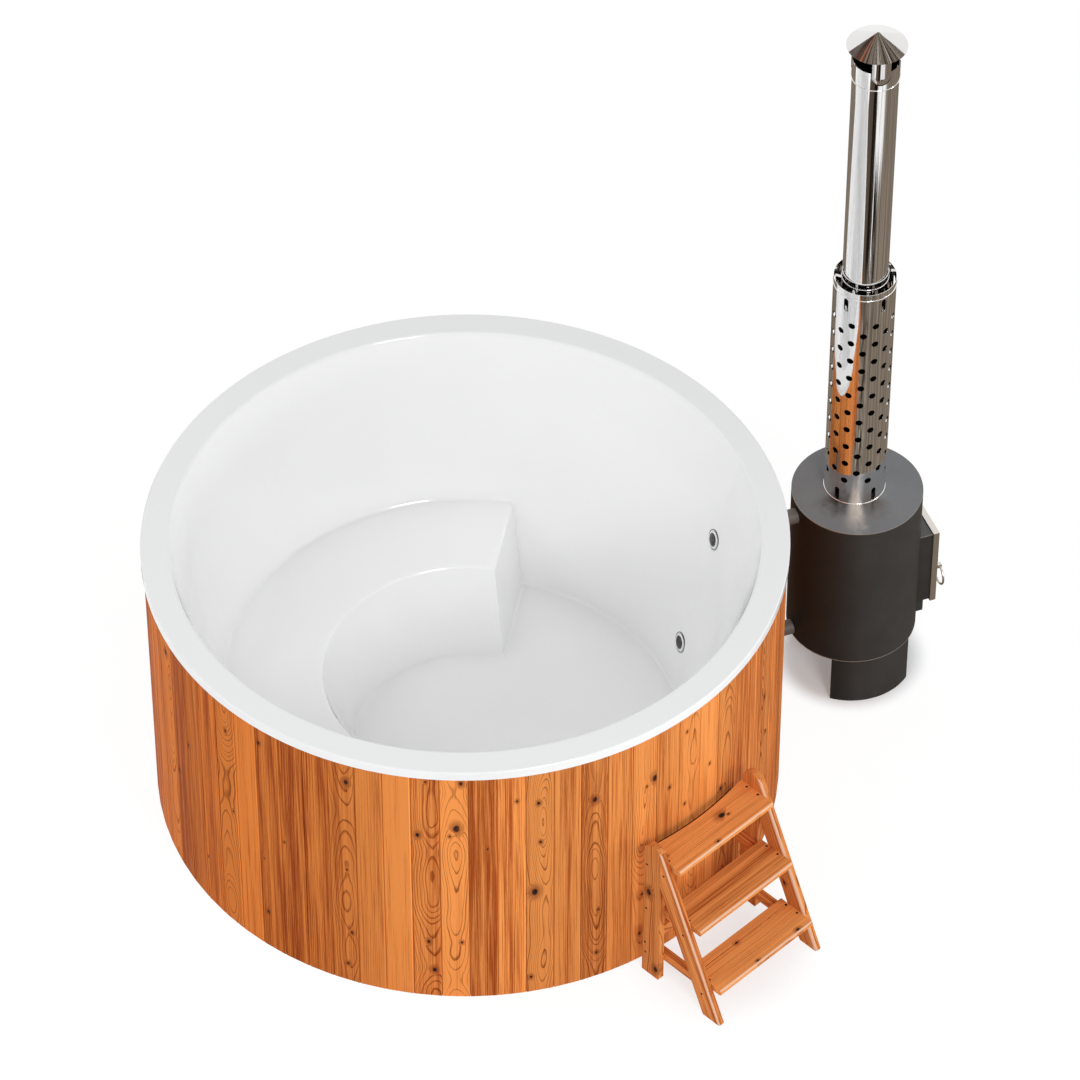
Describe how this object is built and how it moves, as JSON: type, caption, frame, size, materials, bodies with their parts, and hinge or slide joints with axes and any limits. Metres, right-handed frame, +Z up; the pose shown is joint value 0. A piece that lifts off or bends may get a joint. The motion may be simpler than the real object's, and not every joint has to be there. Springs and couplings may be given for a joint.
{
  "type": "wood-fired hot tub",
  "caption": "Round stave-clad hot tub with a moulded bench liner, an outside wood-fired heater with a guarded chimney, and free-standing steps.",
  "frame": {"origin": "on the ground at the tub's vertical axis", "axes": "+Z up, +X from the tub's axis towards the heater, +Y to the left when facing the heater"},
  "size_m": [2.5988, 2.3164, 2.617],
  "materials": {
    "liner": "glossy gelcoat",
    "stave_wood": "oiled, satin",
    "frame_wood": "planed, bare",
    "port_steel": "polished",
    "black_rubber": "matte",
    "nut_plastic": "moulded",
    "clamp_steel": "brushed",
    "water_pipe": "drawn",
    "grey_plastic": "moulded",
    "valve_brass": "cast",
    "ball_steel": "polished",
    "lever_paint": "painted",
    "heater_paint": "satin heat-proof paint",
    "heater_lid": "satin",
    "fire_steel": "heat-proof paint",
    "grate_iron": "cast",
    "door_steel": "fine ground",
    "lining_steel": "heat-tinted",
    "rope_seal": "woven rope",
    "flue_steel": "mirror-polished",
    "step_wood": "oiled, satin"
  },
  "bodies": {
    "tub": {"liner": "liner", "staves": "stave_wood", "lower_ring": "frame_wood", "middle_band": "frame_wood", "upper_ring": "frame_wood", "studs": "frame_wood", "joists": "frame_wood", "deck_boards": "frame_wood", "upper_port": "port_steel", "lower_port": "port_steel", "washers": "black_rubber", "flange_nuts": "nut_plastic", "upper_hose": "black_rubber", "lower_hose": "black_rubber", "hose_clamps": "clamp_steel", "upper_pipe": "water_pipe", "lower_pipe": "water_pipe", "drain_flange": "port_steel", "drain_elbow": "grey_plastic", "drain_pipe": "grey_plastic", "drain_valve": "valve_brass", "heater_shell": "heater_paint", "heater_top": "heater_lid", "heater_base": "heater_paint", "stand_legs": "heater_paint", "firebox": "fire_steel", "fire_grate": "grate_iron", "door_neck": "fire_steel", "ash_duct": "fire_steel", "hinge_brackets": "heater_paint", "hinge_pins": "door_steel", "door_catch": "door_steel", "flue_spigot": "fire_steel", "lower_flue": "flue_steel", "upper_flue": "flue_steel", "heat_guard": "flue_steel", "guard_spacers": "flue_steel", "cap_collar": "flue_steel", "cap_straps": "flue_steel", "cap_cone": "flue_steel", "left_post": "step_wood", "right_post": "step_wood", "left_stringer": "step_wood", "right_stringer": "step_wood", "top_tread": "step_wood", "middle_tread": "step_wood", "bottom_tread": "step_wood", "cleats": "step_wood", "rear_rail": "step_wood"},
    "fire_door": {"door_panel": "door_steel", "door_lining": "lining_steel", "door_seal": "rope_seal", "door_knuckles": "door_steel", "handle_plate": "door_steel"},
    "pull_ring": {"handle_ring": "door_steel"},
    "ash_tray": {"ash_drawer": "fire_steel"},
    "plug": {"drain_plug": "black_rubber"},
    "drain_tap": {"valve_ball": "ball_steel", "valve_lever": "lever_paint"}
  },
  "joints": [
    {"name": "fire_door_hinge", "type": "hinge", "parent": "tub", "child": "fire_door", "pos_m": [1.565, 0.102, 0.402], "axis": [0, 0, 1], "range_deg": [0, 110]},
    {"name": "pull_ring_swing", "type": "hinge", "parent": "fire_door", "child": "pull_ring", "pos_m": [1.592, -0.07, 0.38], "axis": [0, -1, 0], "range_deg": [0, 100]},
    {"name": "ash_drawer_slide", "type": "slide", "parent": "tub", "child": "ash_tray", "axis": [1, 0, 0], "range_m": [0, 0.18]},
    {"name": "drain_plug_lift", "type": "slide", "parent": "tub", "child": "plug", "axis": [0, 0, 1], "range_m": [0, 0.12]},
    {"name": "drain_tap_turn", "type": "hinge", "parent": "tub", "child": "drain_tap", "pos_m": [0.53297, 0.89474, 0.048], "axis": [0, 0, 1], "range_deg": [0, 90]}
  ]
}
